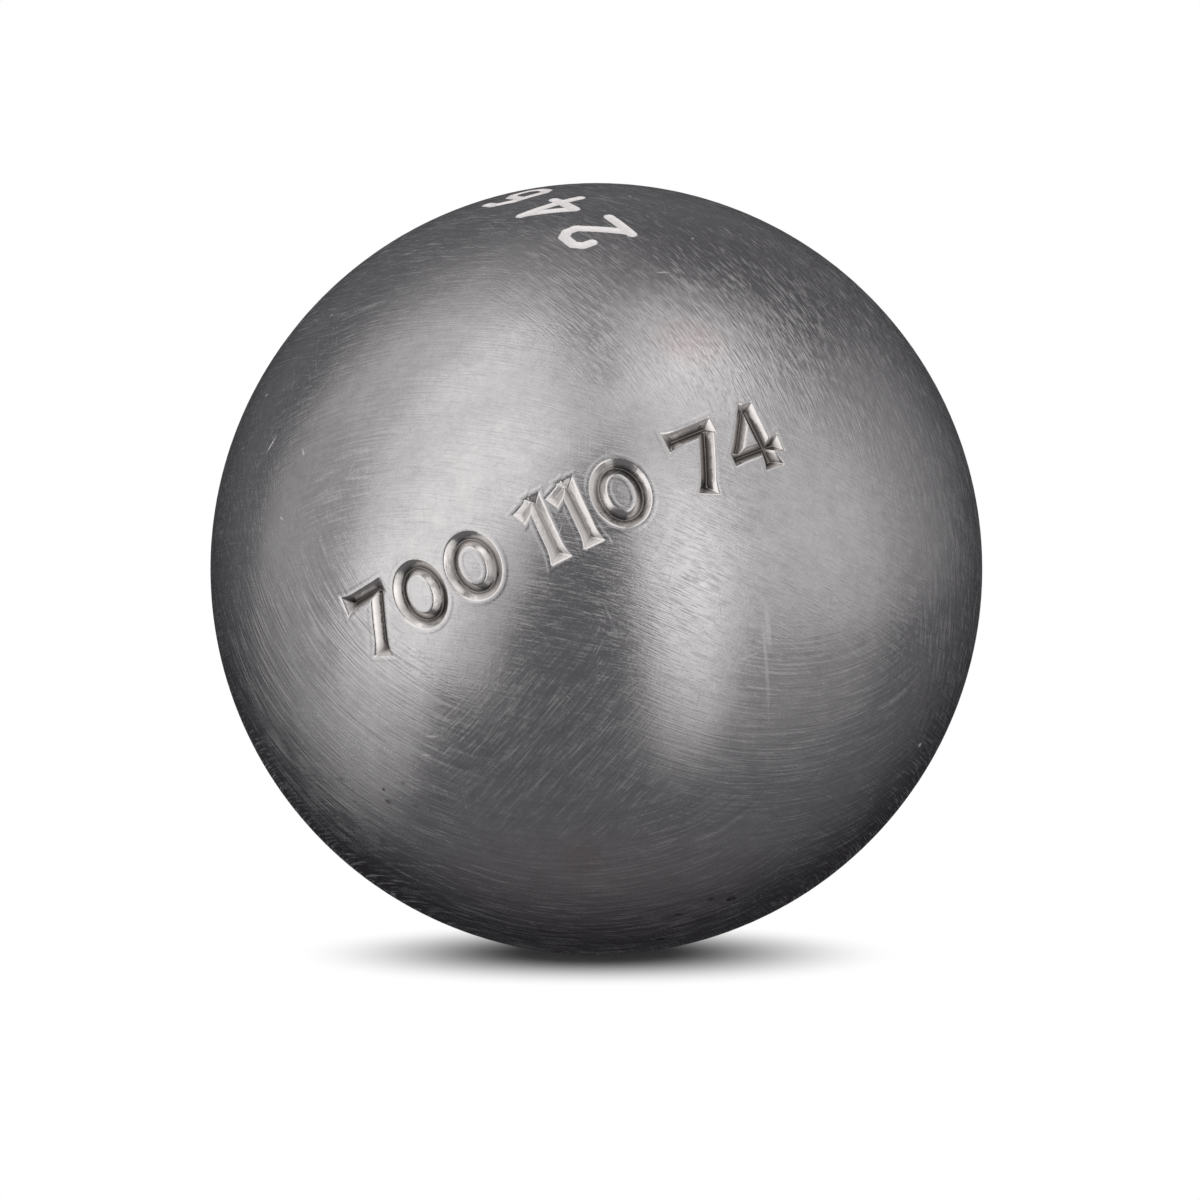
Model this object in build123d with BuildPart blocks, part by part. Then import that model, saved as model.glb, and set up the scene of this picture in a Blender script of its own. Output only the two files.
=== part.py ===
"""Petanque boule: a hollow steel ball made of two forged half shells and one weld.

Millimetres, +Z up, origin at the centre of the ball. Z is the axis that both half
shells are turned about, and the weld joins them along the equator, z = 0.

Each half shell is a hollow hemisphere. Its rim is prepared for welding with a square
land at the bore and a bevel above it. The two rims are set apart by the root gap, the
weld fills the groove from the outside, and its root swells through the gap into the
sealed cavity. The outside is turned flush after welding, so the ball is plain and round.
"""

import os
from math import asin, cos, degrees, hypot, radians, sin, sqrt

from build123d import *

# Driving dimensions of the ball
BALL_DIAMETER = 74.0
WALL_THICKNESS = 6.1

# Driving dimensions of the weld preparation on each rim
ROOT_GAP = 2.0
LAND_WIDTH = 1.5
BEVEL_ANGLE = 30.0

# Driving dimensions of the weld root inside the cavity
ROOT_BEAD_WIDTH = 5.0
ROOT_BEAD_HEIGHT = 0.8

# The two spheres that every piece is bounded by
OUTER_RADIUS = BALL_DIAMETER / 2
INNER_RADIUS = OUTER_RADIUS - WALL_THICKNESS


def latitude(height: float, radius: float) -> float:
    """Angle in degrees, from the equator, of a point at that height on a sphere."""
    return degrees(asin(height / radius))


def bevel_length() -> float:
    """Length of the bevel, from the outer edge of the land to the outer sphere."""
    land_radius = INNER_RADIUS + LAND_WIDTH
    land_height = ROOT_GAP / 2
    slope = radians(BEVEL_ANGLE)
    along = land_radius * cos(slope) + land_height * sin(slope)
    return sqrt(along**2 + OUTER_RADIUS**2 - hypot(land_radius, land_height) ** 2) - along


# Corners of the upper rim as (distance from the axis, height), shared by shell and weld
LAND_INNER_LATITUDE = latitude(ROOT_GAP / 2, INNER_RADIUS)
LAND_OUTER_EDGE = (INNER_RADIUS + LAND_WIDTH, ROOT_GAP / 2)
BEVEL_TOP_HEIGHT = ROOT_GAP / 2 + bevel_length() * sin(radians(BEVEL_ANGLE))
BEVEL_TOP_LATITUDE = latitude(BEVEL_TOP_HEIGHT, OUTER_RADIUS)
ROOT_TOE_LATITUDE = latitude(ROOT_BEAD_WIDTH / 2, INNER_RADIUS)


# Upper half shell: its meridian section, turned about the axis of the ball
with BuildPart() as upper_half_shell:
    with BuildSketch(Plane.XZ):
        with BuildLine():
            outside = CenterArc((0, 0), OUTER_RADIUS, BEVEL_TOP_LATITUDE, 90 - BEVEL_TOP_LATITUDE)
            inside = CenterArc((0, 0), INNER_RADIUS, LAND_INNER_LATITUDE, 90 - LAND_INNER_LATITUDE)
            Polyline(inside @ 0, LAND_OUTER_EDGE, outside @ 0)
            Line(inside @ 1, outside @ 1)
        make_face()
    revolve(axis=Axis.Z)

# Lower half shell: the same forging, turned over
with BuildPart() as lower_half_shell:
    mirror(upper_half_shell.part, about=Plane.XY)

# Weld: the upper half of its section, mirrored at the equator and turned about the axis
with BuildPart() as weld_bead:
    with BuildSketch(Plane.XZ):
        with BuildLine():
            flush_face = CenterArc((0, 0), OUTER_RADIUS, 0, BEVEL_TOP_LATITUDE)
            toe = CenterArc(
                (0, 0), INNER_RADIUS, LAND_INNER_LATITUDE, ROOT_TOE_LATITUDE - LAND_INNER_LATITUDE
            )
            Polyline(flush_face @ 1, LAND_OUTER_EDGE, toe @ 0)
            crown = (INNER_RADIUS - ROOT_BEAD_HEIGHT, 0)
            swell = TangentArc(crown, toe @ 1, tangent=(0, 1))
            Line(swell @ 0, flush_face @ 0)
        make_face()
        mirror(about=Plane.XZ)
    revolve(axis=Axis.Z)

os.makedirs("parts", exist_ok=True)
for piece, name in (
    (upper_half_shell, "upper_half_shell"),
    (lower_half_shell, "lower_half_shell"),
    (weld_bead, "weld_bead"),
):
    piece.part.label = name
    export_step(piece.part, f"parts/{name}.step")
    print(name, "volume", round(piece.part.volume, 1), "mm3")
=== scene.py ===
"""Looks of a petanque boule: a hollow steel ball, brushed satin, with numbers cut into it.

Metres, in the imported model's frame: +Z up, origin at the centre of the ball, and the punched
number faces -Y, towards the camera. Both half shells and the weld between them are made again
as closed meshes, fine enough for the numbers to be real cuts in the metal. Places on the ball
are given by azimuth, from -Y towards +X, and elevation, from the equator towards +Z.
"""

import logging
from dataclasses import dataclass, field
from enum import IntEnum
from math import atan, atan2, cos, hypot, pi, radians, sin, sqrt

import bpy
import numpy as np
from mathutils import Matrix, Vector


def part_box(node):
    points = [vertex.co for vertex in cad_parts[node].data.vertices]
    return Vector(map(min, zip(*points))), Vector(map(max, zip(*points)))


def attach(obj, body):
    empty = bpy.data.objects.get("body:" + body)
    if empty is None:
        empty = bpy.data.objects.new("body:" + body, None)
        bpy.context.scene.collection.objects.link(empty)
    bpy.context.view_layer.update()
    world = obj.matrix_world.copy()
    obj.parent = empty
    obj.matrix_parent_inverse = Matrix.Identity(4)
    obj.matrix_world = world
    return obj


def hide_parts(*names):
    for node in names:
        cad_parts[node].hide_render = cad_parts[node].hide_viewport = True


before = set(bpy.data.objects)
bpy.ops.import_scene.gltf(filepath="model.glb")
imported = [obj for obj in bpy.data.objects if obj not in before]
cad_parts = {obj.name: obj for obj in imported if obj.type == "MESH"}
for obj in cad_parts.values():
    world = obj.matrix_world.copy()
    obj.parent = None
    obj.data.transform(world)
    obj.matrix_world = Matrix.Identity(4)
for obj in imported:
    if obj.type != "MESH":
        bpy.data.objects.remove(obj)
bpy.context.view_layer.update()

LOG = logging.getLogger("boule")

MM = 0.001
BODY = "root"

# Sizes of the ball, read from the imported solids
BALL_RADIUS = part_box("upper_half_shell")[1].z
WELD_HALF_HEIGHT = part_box("weld_bead")[1].z
ROOT_HALF_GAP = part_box("upper_half_shell")[0].z


def nearest_to_centre(node: str) -> float:
    """Return the distance from the ball's centre to the nearest point of a CAD node."""
    return min(vertex.co.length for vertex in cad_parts[node].data.vertices)


BORE_RADIUS = nearest_to_centre("upper_half_shell")
ROOT_CROWN_RADIUS = nearest_to_centre("weld_bead")


class Zone(IntEnum):
    """Which piece a stretch of the ball's outside belongs to."""

    LOWER = 0
    WELD = 1
    UPPER = 2


class Surface(IntEnum):
    """How a stretch of the ball's outside was finished, as its material's place in the mesh."""

    SATIN = 0
    PUNCHED = 1
    ENGRAVED = 2


def direction(azimuth: float, elevation: float) -> Vector:
    """Find the way from the ball's centre to a place on it.

    Args:
        azimuth: degrees from -Y towards +X.
        elevation: degrees from the equator towards +Z.

    Returns:
        The unit vector to that place.
    """
    turn, rise = radians(azimuth), radians(elevation)
    return Vector((cos(rise) * sin(turn), -cos(rise) * cos(turn), sin(rise)))


def bearings(azimuth: float, elevation: float, turn: float) -> tuple[Vector, Vector, Vector]:
    """Lay a pair of axes on the ball at a place.

    Args:
        azimuth: degrees from -Y towards +X.
        elevation: degrees from the equator towards +Z.
        turn: degrees that the axes are turned anticlockwise, seen from outside.

    Returns:
        The way out of the ball, the first axis along it and the second, 90 degrees on.
    """
    out = direction(azimuth, elevation)
    east = Vector((cos(radians(azimuth)), sin(radians(azimuth)), 0.0))
    north = out.cross(east)
    along = east * cos(radians(turn)) + north * sin(radians(turn))
    return out, along, out.cross(along)


@dataclass(frozen=True)
class Stroke:
    """A straight stroke of a numeral with square ends, in millimetres on the numeral's own plane."""

    start: tuple[float, float]
    end: tuple[float, float]
    half_width: float
    start_flare: float = 0.0
    end_flare: float = 0.0
    flare_length: float = 1.5

    def reach(self, x: np.ndarray, y: np.ndarray) -> np.ndarray:
        """Measure how far inside the stroke's outline points lie.

        Args:
            x: places across the numeral.
            y: places up the numeral.

        Returns:
            The distance to the outline, negative outside it.
        """
        run, rise = self.end[0] - self.start[0], self.end[1] - self.start[1]
        length = hypot(run, rise)
        from_start_x, from_start_y = x - self.start[0], y - self.start[1]
        along = (from_start_x * run + from_start_y * rise) / length
        across = np.abs(from_start_y * run - from_start_x * rise) / length
        half_width = self.half_width
        for from_end, flare in ((along, self.start_flare), (length - along, self.end_flare)):
            half_width = half_width + flare * np.clip(1.0 - from_end / self.flare_length, 0.0, 1.0) ** 2
        return np.minimum(half_width - across, np.minimum(along, length - along))


@dataclass(frozen=True)
class Bow:
    """A closed oval stroke of a numeral, in millimetres on the numeral's own plane."""

    radii: tuple[float, float]
    half_width: float
    # Keeps the measure finite in the very middle of the oval
    least: float = 0.05

    def reach(self, x: np.ndarray, y: np.ndarray) -> np.ndarray:
        """Measure how far inside the oval stroke points lie.

        Args:
            x: places across the numeral.
            y: places up the numeral.

        Returns:
            The distance to the stroke's edge, negative outside it.
        """
        across, up = x / self.radii[0], y / self.radii[1]
        level = np.maximum(np.hypot(across, up), self.least)
        steepness = np.hypot(across / self.radii[0], up / self.radii[1]) / level
        return self.half_width - np.abs(level - 1.0) / np.maximum(steepness, self.least)


@dataclass(frozen=True)
class Groove:
    """A straight groove of a round cutter, in millimetres on the numeral's own plane."""

    start: tuple[float, float]
    end: tuple[float, float]
    half_width: float

    def reach(self, x: np.ndarray, y: np.ndarray) -> np.ndarray:
        """Measure how far inside the groove points lie.

        Args:
            x: places across the numeral.
            y: places up the numeral.

        Returns:
            The distance to the groove's edge, negative outside it.
        """
        run, rise = self.end[0] - self.start[0], self.end[1] - self.start[1]
        from_start_x, from_start_y = x - self.start[0], y - self.start[1]
        along = np.clip((from_start_x * run + from_start_y * rise) / (run**2 + rise**2), 0.0, 1.0)
        return self.half_width - np.hypot(from_start_x - along * run, from_start_y - along * rise)


@dataclass(frozen=True)
class Numeral:
    """The strokes of one figure and the width that it takes on the line, in millimetres."""

    width: float
    strokes: tuple[Stroke | Bow | Groove, ...]


# Radius of the engraver's round cutter, in millimetres
CUTTER_RADIUS = 0.46


def cutter_path(*corners: tuple[float, float]) -> tuple[Groove, ...]:
    """Return the straight runs of the engraver's cutter from corner to corner."""
    return tuple(Groove(a, b, CUTTER_RADIUS) for a, b in zip(corners, corners[1:]))


# Figures of the punch, about 6.2 mm high: strokes with flared ends
PUNCH_FIGURES = {
    "0": Numeral(5.2, (Bow((1.86, 2.4), 0.7),)),
    "1": Numeral(
        2.8,
        (
            Stroke((0.4, 3.1), (0.4, -3.1), 0.68, 0.05, 0.3),
            Stroke((-1.45, 1.75), (0.45, 2.75), 0.5, 0.15, 0.0),
        ),
    ),
    "4": Numeral(
        5.0,
        (
            Stroke((0.9, 3.1), (0.9, -3.1), 0.68, 0.05, 0.3),
            Stroke((0.8, 3.0), (-2.1, -1.0), 0.55, 0.0, 0.1),
            Stroke((-2.6, -1.15), (2.5, -1.15), 0.58, 0.1, 0.25),
        ),
    ),
    "7": Numeral(
        4.8,
        (
            Stroke((-2.35, 2.4), (2.35, 2.4), 0.68, 0.3, 0.05),
            Stroke((1.75, 2.6), (-0.75, -3.1), 0.68, 0.0, 0.3),
        ),
    ),
}

# Figures of the engraver, about 6.3 mm high: flat grooves with round ends
ENGRAVER_FIGURES = {
    "2": Numeral(
        3.6,
        cutter_path((-1.45, 1.2), (-1.45, 2.1), (-0.8, 2.75), (0.8, 2.75), (1.5, 2.0), (1.5, 0.9))
        + cutter_path((1.6, 1.1), (-1.5, -2.75))
        + cutter_path((-1.9, -2.75), (1.9, -2.75)),
    ),
    "4": Numeral(
        3.6,
        cutter_path((0.8, 3.15), (0.8, -3.15)) + cutter_path((0.8, 2.9), (-1.7, -1.1), (2.0, -1.1)),
    ),
    "6": Numeral(
        3.6,
        cutter_path((1.2, 2.75), (-0.2, 2.75), (-1.4, 1.2), (-1.4, -2.0), (-0.7, -2.75), (0.7, -2.75))
        + cutter_path((0.6, -2.75), (1.45, -2.0), (1.45, -0.4), (0.7, 0.4), (-1.4, 0.4)),
    ),
}


@dataclass(frozen=True)
class NumberMark:
    """A plain number cut into the ball along a great circle. Sizes in millimetres."""

    text: str
    figures: dict[str, Numeral]
    surface: Surface
    azimuth: float
    elevation: float
    turn: float
    figure_gap: float
    word_gap: float
    wall_slopes: tuple[float, float, float]
    floor_depth: float
    rim_round: float
    lip_height: float
    lip_width: float

    def placed(self) -> list[tuple[float, Numeral]]:
        """Return each figure with the place of its middle on the line."""
        places = []
        pen = 0.0
        for character in self.text:
            if character == " ":
                pen += self.word_gap - self.figure_gap
                continue
            figure = self.figures[character]
            places.append((pen + figure.width / 2, figure))
            pen += figure.width + self.figure_gap
        middle = (pen - self.figure_gap) / 2
        return [(place - middle, figure) for place, figure in places]

    def reach(self, points: np.ndarray) -> np.ndarray:
        """Measure how far inside the number's strokes places on the ball lie.

        Args:
            points: unit vectors, one row each.

        Returns:
            The distance to the nearest stroke's edge in millimetres, negative outside.
        """
        out, along, up = (np.array(axis) for axis in bearings(self.azimuth, self.elevation, self.turn))
        radius = BALL_RADIUS / MM
        x = radius * np.arctan2(points @ along, points @ out)
        y = radius * np.arcsin(np.clip(points @ up, -1.0, 1.0))
        inside = np.full(len(points), -radius)
        for place, figure in self.placed():
            for stroke in figure.strokes:
                inside = np.maximum(inside, stroke.reach(x - place, y))
        return inside

    def slope(self, points: np.ndarray) -> np.ndarray:
        """Find how steep the strokes' walls are, between the line's start, middle and end.

        Args:
            points: unit vectors, one row each.

        Returns:
            The slope at each place.
        """
        out, along, _ = (np.array(axis) for axis in bearings(self.azimuth, self.elevation, self.turn))
        last_place, last_figure = self.placed()[-1]
        half_line = (last_place + last_figure.width / 2) * MM / BALL_RADIUS
        places = np.arctan2(points @ along, points @ out) / half_line
        return np.interp(places, (-1.0, 0.0, 1.0), self.wall_slopes)

    def depth(self, points: np.ndarray) -> np.ndarray:
        """Find how deep the metal is cut at places on the ball.

        Args:
            points: unit vectors, one row each.

        Returns:
            The depth in millimetres, a little negative on the raised lip round a stroke.
        """
        inside = self.reach(points)
        edge = np.clip(inside, -self.rim_round, self.rim_round)
        past_rim = np.maximum(inside - self.rim_round, 0.0)
        rounded = (edge + self.rim_round) ** 2 / (4 * self.rim_round) + past_rim
        wall = np.minimum(self.slope(points) * rounded, self.floor_depth)
        swell = np.clip(1.0 - ((inside + self.lip_width) / self.lip_width) ** 2, 0.0, 1.0)
        return wall - self.lip_height * swell**2


# The punch's strokes are V grooves: two long facets that meet in the middle, with hipped ends.
# The punch was rocked along the line, so that its ends went in more steeply than its middle
PUNCHED_NUMBER = NumberMark(
    text="700 110 74",
    figures=PUNCH_FIGURES,
    surface=Surface.PUNCHED,
    azimuth=-5.2,
    elevation=6.2,
    turn=25.9,
    figure_gap=0.35,
    word_gap=2.8,
    wall_slopes=(1.1, 0.7, 1.35),
    floor_depth=0.75,
    rim_round=0.06,
    lip_height=0.016,
    lip_width=0.28,
)

ENGRAVED_NUMBER = NumberMark(
    text="246",
    figures=ENGRAVER_FIGURES,
    surface=Surface.ENGRAVED,
    azimuth=-13.4,
    elevation=63.7,
    turn=133.6,
    figure_gap=3.3,
    word_gap=5.0,
    wall_slopes=(1.0, 1.0, 1.0),
    floor_depth=0.18,
    rim_round=0.06,
    lip_height=0.0,
    lip_width=0.2,
)


def stitch(first: np.ndarray, second: np.ndarray, azimuths: np.ndarray) -> list[tuple[int, int, int]]:
    """Join two rings of vertices with triangles.

    Args:
        first: vertex numbers of the first ring, or one vertex at a pole.
        second: vertex numbers of the ring that follows it along the profile.
        azimuths: the azimuth of every vertex.

    Returns:
        Triangles that face outwards where the profile goes north on the outside.
    """
    first = first[np.argsort(azimuths[first])]
    second = second[np.argsort(azimuths[second])]
    if len(first) == 1:
        return [(first[0], b, a) for a, b in zip(second, np.roll(second, -1))]
    if len(second) == 1:
        return [(a, b, second[0]) for a, b in zip(first, np.roll(first, -1))]
    first_turn = np.append(azimuths[first], azimuths[first[0]] + 2 * pi)
    second_turn = np.append(azimuths[second], azimuths[second[0]] + 2 * pi)
    triangles = []
    i = j = 0
    while i < len(first) or j < len(second):
        here, there = first[i % len(first)], second[j % len(second)]
        on_first = j == len(second) or (i < len(first) and first_turn[i + 1] <= second_turn[j + 1])
        if on_first:
            i += 1
            triangles.append((here, first[i % len(first)], there))
        else:
            j += 1
            triangles.append((here, second[j % len(second)], there))
    return triangles


# A ring with fewer points than this is one point on the axis
FEWEST_ON_RING = 4


def ring(radius: float, height: float, spacing: float, stagger: float = 0.0) -> np.ndarray:
    """Space points evenly round the ball's axis.

    Args:
        radius: distance from the axis.
        height: place along the axis.
        spacing: wished distance between points.
        stagger: share of a space that the points are turned by.

    Returns:
        The points, one row each, or one point where the radius is next to nothing.
    """
    count = int(round(2 * pi * radius / spacing))
    if count < FEWEST_ON_RING:
        return np.array([(0.0, 0.0, height)])
    turns = 2 * pi * (np.arange(count) + stagger) / count
    return np.column_stack([radius * np.cos(turns), radius * np.sin(turns), np.full(count, height)])


@dataclass
class BallSkin:
    """The ball's outside as one mesh of triangles, small where the numbers are cut."""

    marks: tuple[NumberMark, ...]
    cell: float = 1.2 * MM
    halvings: int = 4
    # Triangles are halved as far out from a stroke as the margin and this share of their side
    margin: float = 0.55 * MM
    margin_share: float = 0.8
    points: np.ndarray = field(init=False)
    triangles: np.ndarray = field(init=False)
    zones: np.ndarray = field(init=False)
    shape: np.ndarray = field(init=False)
    normals: np.ndarray = field(init=False)

    def build(self) -> None:
        """Lay the rows of triangles and halve them until the numbers are sharp."""
        self._lay_rows()
        for halving in range(self.halvings):
            side = self.cell / 2**halving
            centres = self._centres()
            near = np.full(len(centres), -BALL_RADIUS)
            for mark in self.marks:
                near = np.maximum(near, mark.reach(centres) * MM)
            self._halve(near > -(self.margin + self.margin_share * side))
        self._cut()

    def _centres(self) -> np.ndarray:
        """Return the unit vector to the middle of each triangle."""
        centres = self.points[self.triangles].mean(axis=1)
        return centres / np.linalg.norm(centres, axis=1)[:, None]

    def _lay_rows(self) -> None:
        """Lay rings of points from pole to pole, with one ring on each edge of the weld."""
        weld_edge = np.arcsin(WELD_HALF_HEIGHT / BALL_RADIUS)
        row = self.cell * sqrt(3) / 2 / BALL_RADIUS
        shell_rows = int(round((pi / 2 - weld_edge) / row))
        weld_rows = int(round(2 * weld_edge / row))
        upper = np.linspace(weld_edge, pi / 2, shell_rows + 1)
        weld = np.linspace(-weld_edge, weld_edge, weld_rows + 1)
        latitudes = np.concatenate([-upper[::-1], weld[1:-1], upper])
        zone_of_row = [Zone.LOWER] * shell_rows + [Zone.WELD] * weld_rows + [Zone.UPPER] * shell_rows
        rings = []
        points = []
        for number, latitude in enumerate(latitudes):
            made = ring(cos(latitude), sin(latitude), self.cell / BALL_RADIUS, number % 2 / 2)
            rings.append(np.arange(len(made)) + sum(len(other) for other in points))
            points.append(made)
        self.points = np.concatenate(points)
        azimuths = np.arctan2(self.points[:, 1], self.points[:, 0])
        triangles = []
        zones = []
        for lower, higher, zone in zip(rings, rings[1:], zone_of_row):
            made = stitch(lower, higher, azimuths)
            triangles += made
            zones += [zone] * len(made)
        self.triangles = np.array(triangles)
        self.zones = np.array(zones)

    def _halve(self, marked: np.ndarray) -> None:
        """Cut marked triangles into four, and their neighbours in two where that joins them.

        Args:
            marked: True for each triangle to cut.
        """
        corners = self.triangles
        sides = np.sort(np.stack([corners, np.roll(corners, -1, axis=1)], axis=2), axis=2)
        keys, side_of = np.unique(sides.reshape(-1, 2), axis=0, return_inverse=True)
        side_of = side_of.reshape(-1, 3)
        cut = np.zeros(len(keys), bool)
        cut[side_of[marked]] = True
        while (two := cut[side_of].sum(axis=1) == 2).any():
            cut[side_of[two]] = True
        middles = self.points[keys[cut]].mean(axis=1)
        middles /= np.linalg.norm(middles, axis=1)[:, None]
        number = np.full(len(keys), -1)
        number[cut] = len(self.points) + np.arange(cut.sum())
        middle_of = number[side_of]
        cuts = cut[side_of].sum(axis=1)
        whole, half, quarter = cuts == 0, cuts == 1, cuts == 3
        turn = np.argmax(middle_of[half] >= 0, axis=1)
        rows = np.arange(half.sum())
        a, b, c = (corners[half][rows, (turn + step) % 3] for step in range(3))
        ab = middle_of[half][rows, turn]
        halves = [(a, ab, c), (ab, b, c)]
        a, b, c = corners[quarter].T
        ab, bc, ca = middle_of[quarter].T
        quarters = [(a, ab, ca), (ab, b, bc), (ca, bc, c), (ab, bc, ca)]
        made = [np.column_stack(triangle) for triangle in halves + quarters]
        owners = [half] * len(halves) + [quarter] * len(quarters)
        self.triangles = np.concatenate([corners[whole], *made])
        self.zones = np.concatenate([self.zones[whole], *(self.zones[owner] for owner in owners)])
        self.points = np.concatenate([self.points, middles])

    def _cut(self) -> None:
        """Sink the numbers into the ball and find which way its outside then faces."""
        depths = sum(mark.depth(self.points) for mark in self.marks) * MM
        self.shape = self.points * (BALL_RADIUS - depths)[:, None]
        a, b, c = (self.shape[corner] for corner in self.triangles.T)
        across = np.cross(b - a, c - a)
        normals = np.zeros_like(self.shape)
        for corner in self.triangles.T:
            np.add.at(normals, corner, across)
        normals /= np.linalg.norm(normals, axis=1)[:, None]
        self.normals = np.where(depths[:, None] == 0.0, self.points, normals)

    def surfaces(self) -> np.ndarray:
        """Return the Surface that each triangle belongs to."""
        centres = self._centres()
        made = np.full(len(centres), int(Surface.SATIN))
        for mark in self.marks:
            made[mark.reach(centres) > -mark.rim_round] = mark.surface
        return made


def linear(colour: str) -> tuple[float, float, float, float]:
    """Turn an sRGB hex colour to the linear values that a shader takes.

    Args:
        colour: six hex digits after a #.

    Returns:
        Linear red, green and blue, and an alpha of 1.
    """
    parts = [int(colour[i : i + 2], 16) / 255 for i in (1, 3, 5)]
    return (*(p / 12.92 if p <= 0.04045 else ((p + 0.055) / 1.055) ** 2.4 for p in parts), 1.0)


def add_node(
    tree: bpy.types.NodeTree, kind: str, settings: dict[str, object] | None = None, **links: object
) -> bpy.types.Node:
    """Add a node with its settings and links.

    Args:
        tree: the node tree that the node goes into.
        kind: the node's type.
        settings: values of the node's own properties.
        links: values or output sockets for its inputs, by name with _ for spaces, or in_N by number
            where the names repeat.

    Returns:
        The new node.
    """
    node = tree.nodes.new(kind)
    for name, value in (settings or {}).items():
        setattr(node, name, value)
    for name, value in links.items():
        key = int(name[3:]) if name.startswith("in_") else name.replace("_", " ")
        socket = node.inputs[key]
        if isinstance(value, bpy.types.NodeSocket):
            tree.links.new(value, socket)
        else:
            socket.default_value = value
    return node


def new_material(name: str) -> tuple[bpy.types.Material, bpy.types.NodeTree]:
    """Return a new material with an empty node tree, and the tree."""
    material = bpy.data.materials.new(name)
    material.use_nodes = True
    material.node_tree.nodes.clear()
    return material, material.node_tree


@dataclass(frozen=True)
class BrushPass:
    """One patch that the brush went over, with strokes along circles round one axis.

    The patch's place and spread, the strokes' lay and the tilt of their circles are in degrees,
    their length and width are in millimetres, and their weight is 1 for a plain pass. The
    thinner they are, the more bare metal stands between them, from 0 for strokes side by side.
    """

    azimuth: float
    elevation: float
    spread: float
    lay: float
    bow: float = 0.0
    length: float = 2.5
    weight: float = 1.0
    thinner: float = 0.0
    # Brush lines are about 0.03 mm wide. They are drawn as coarse as the render can show
    width: float = 0.11

    def centre(self) -> Vector:
        """Return the unit vector to the middle of the patch."""
        return direction(self.azimuth, self.elevation)

    def rotation(self) -> tuple[float, float, float]:
        """Return the Euler angles that turn +Z to the axis that the strokes go round."""
        out, _, side = bearings(self.azimuth, self.elevation, self.lay)
        axis = side * cos(radians(self.bow)) + out * sin(radians(self.bow))
        return tuple(axis.to_track_quat("Z", "Y").to_euler())


# Where the brush went, in the order that it did: later strokes lie over earlier ones
BRUSH_PASSES = (
    BrushPass(azimuth=180.0, elevation=5.0, spread=80.0, lay=12.0, bow=15.0, length=4.0, weight=1.3),
    BrushPass(azimuth=125.0, elevation=30.0, spread=45.0, lay=-40.0, bow=20.0, weight=1.8),
    BrushPass(azimuth=-130.0, elevation=15.0, spread=45.0, lay=50.0, bow=10.0, weight=1.8),
    BrushPass(azimuth=170.0, elevation=-50.0, spread=45.0, lay=-15.0, bow=25.0, length=5.0, weight=1.8),
    BrushPass(azimuth=-20.0, elevation=62.0, spread=32.0, lay=-20.0, bow=10.0, length=2.0, weight=1.8),
    BrushPass(azimuth=-2.0, elevation=3.0, spread=44.0, lay=-10.0, weight=1.0),
    BrushPass(azimuth=-62.0, elevation=5.0, spread=26.0, lay=-60.0, bow=20.0, length=1.2, weight=1.0),
    BrushPass(azimuth=-26.0, elevation=27.0, spread=26.0, lay=0.0, bow=-25.0, length=4.0, weight=1.4),
    BrushPass(
        azimuth=12.0, elevation=44.0, spread=17.0, lay=-58.0,
        length=2.0, weight=2.8, thinner=0.04, width=0.13,
    ),
    BrushPass(
        azimuth=42.0, elevation=34.0, spread=25.0, lay=-82.0,
        length=1.6, weight=3.8, thinner=0.05, width=0.15,
    ),
    BrushPass(azimuth=62.0, elevation=0.0, spread=25.0, lay=-82.0, bow=10.0, weight=1.8),
    BrushPass(azimuth=28.0, elevation=-3.0, spread=22.0, lay=-24.0, length=2.0, weight=2.0),
    BrushPass(azimuth=30.0, elevation=-36.0, spread=28.0, lay=2.0, bow=30.0, length=5.0, weight=1.5),
    BrushPass(azimuth=0.0, elevation=-58.0, spread=24.0, lay=5.0, bow=30.0, length=5.0, weight=2.0),
    BrushPass(
        azimuth=-46.0, elevation=-23.0, spread=22.0, lay=-46.0, bow=30.0,
        length=5.0, weight=3.1, thinner=0.03, width=0.13,
    ),
    BrushPass(azimuth=-6.0, elevation=-28.0, spread=11.0, lay=50.0, length=3.0, weight=1.6, thinner=0.01),
)


@dataclass(frozen=True)
class Blemish:
    """One pit, stray scratch or warm tint. Its place and turn in degrees, its size in millimetres.

    The core is the share of its size that has its full strength. Beyond that it fades.
    """

    azimuth: float
    elevation: float
    length: float
    width: float
    turn: float = 0.0
    strength: float = 1.0
    core: float = 0.3

    def mask(self, tree: bpy.types.NodeTree, place: bpy.types.NodeSocket) -> bpy.types.NodeSocket:
        """Draw the blemish as a soft oval.

        Args:
            tree: the finish's node tree.
            place: the place on the ball, in metres.

        Returns:
            The blemish's strength in the middle of the oval, and 0 beyond its edge.
        """
        out, along, up = bearings(self.azimuth, self.elevation, self.turn)
        half = (self.length / 2 * MM, self.width / 2 * MM, BALL_RADIUS)
        oval = add_node(
            tree,
            "ShaderNodeMapping",
            {"vector_type": "TEXTURE"},
            Vector=place,
            Location=out * BALL_RADIUS,
            Rotation=Matrix((along, up, out)).transposed().to_euler(),
            Scale=half,
        )
        far = add_node(tree, "ShaderNodeVectorMath", {"operation": "LENGTH"}, in_0=oval.outputs[0])
        return add_node(
            tree,
            "ShaderNodeMapRange",
            {"interpolation_type": "SMOOTHSTEP"},
            Value=far.outputs["Value"],
            From_Min=1.0,
            From_Max=self.core,
            To_Max=self.strength,
        ).outputs[0]


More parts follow.
